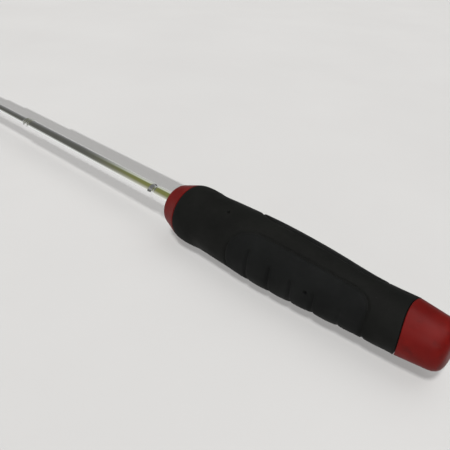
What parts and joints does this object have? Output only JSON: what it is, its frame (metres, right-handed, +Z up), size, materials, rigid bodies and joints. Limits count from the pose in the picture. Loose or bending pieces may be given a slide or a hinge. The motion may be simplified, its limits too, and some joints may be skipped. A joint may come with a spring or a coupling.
{
  "type": "telescoping magnetic reacher grabber",
  "caption": "Hand-held reaching tool: soft two-colour grip on a chrome telescoping mast, with a tilting magnet head at the tip for picking up steel items.",
  "frame": {"origin": "middle of the bounding box's underside, on the plane that the tool lies on", "axes": "+X along the mast axis from the tip towards the handle's rear end, +Z up with the tool lying at rest, +Y across"},
  "size_m": [0.473, 0.031, 0.031],
  "materials": {
    "red_plastic": "moulded red plastic with a soft satin skin, slightly scuffed",
    "black_rubber": "near-black thermoplastic rubber, matte, finely textured",
    "chrome": "bright chrome plate, mirror smooth, with fine rubbed scratches",
    "steel": "plain zinc-plated steel, satin",
    "brass": "turned brass or spring bronze, satin",
    "magnet_nickel": "nickel-plated magnet face, satin with wear marks",
    "black_plastic": "plain black moulded plastic"
  },
  "bodies": {
    "handle": {"handle_core": "red_plastic", "grip_overmould": "black_rubber", "end_cap": "red_plastic", "tube_anchor_pin": "steel", "outer_tube": "chrome", "tube_stop_plug": "brass"},
    "stage_2": {"stage_2_tube": "chrome", "stage_2_stop_bush": "brass", "stage_2_spring_sleeve": "brass"},
    "stage_3": {"stage_3_tube": "chrome", "stage_3_stop_bush": "brass", "stage_3_spring_sleeve": "brass"},
    "stage_4": {"stage_4_tube": "chrome", "stage_4_stop_bush": "brass", "stage_4_spring_sleeve": "brass"},
    "stage_5": {"stage_5_rod": "chrome", "stage_5_stop_bush": "brass", "stage_5_spring_sleeve": "brass", "head_fork": "chrome", "pivot_pin": "steel", "pivot_washer_left": "brass", "pivot_washer_right": "brass"},
    "head": {"head_knuckle": "steel", "magnet_cup": "chrome", "magnet_spacer": "black_plastic", "magnet": "magnet_nickel"}
  },
  "joints": [
    {"name": "stage_2_slide", "type": "slide", "parent": "handle", "child": "stage_2", "axis": [-1, 0, 0], "range_m": [-0.0628, 0.05]},
    {"name": "stage_3_slide", "type": "slide", "parent": "stage_2", "child": "stage_3", "axis": [-1, 0, 0], "range_m": [-0.0228, 0.092]},
    {"name": "stage_4_slide", "type": "slide", "parent": "stage_3", "child": "stage_4", "axis": [-1, 0, 0], "range_m": [-0.0128, 0.102]},
    {"name": "stage_5_slide", "type": "slide", "parent": "stage_4", "child": "stage_5", "axis": [-1, 0, 0], "range_m": [-0.0064, 0.107]},
    {"name": "head_tilt", "type": "hinge", "parent": "stage_5", "child": "head", "pos_m": [-0.21646, 0, 0.0155], "axis": [0, -1, 0], "range_deg": [-116, 63.9]}
  ]
}
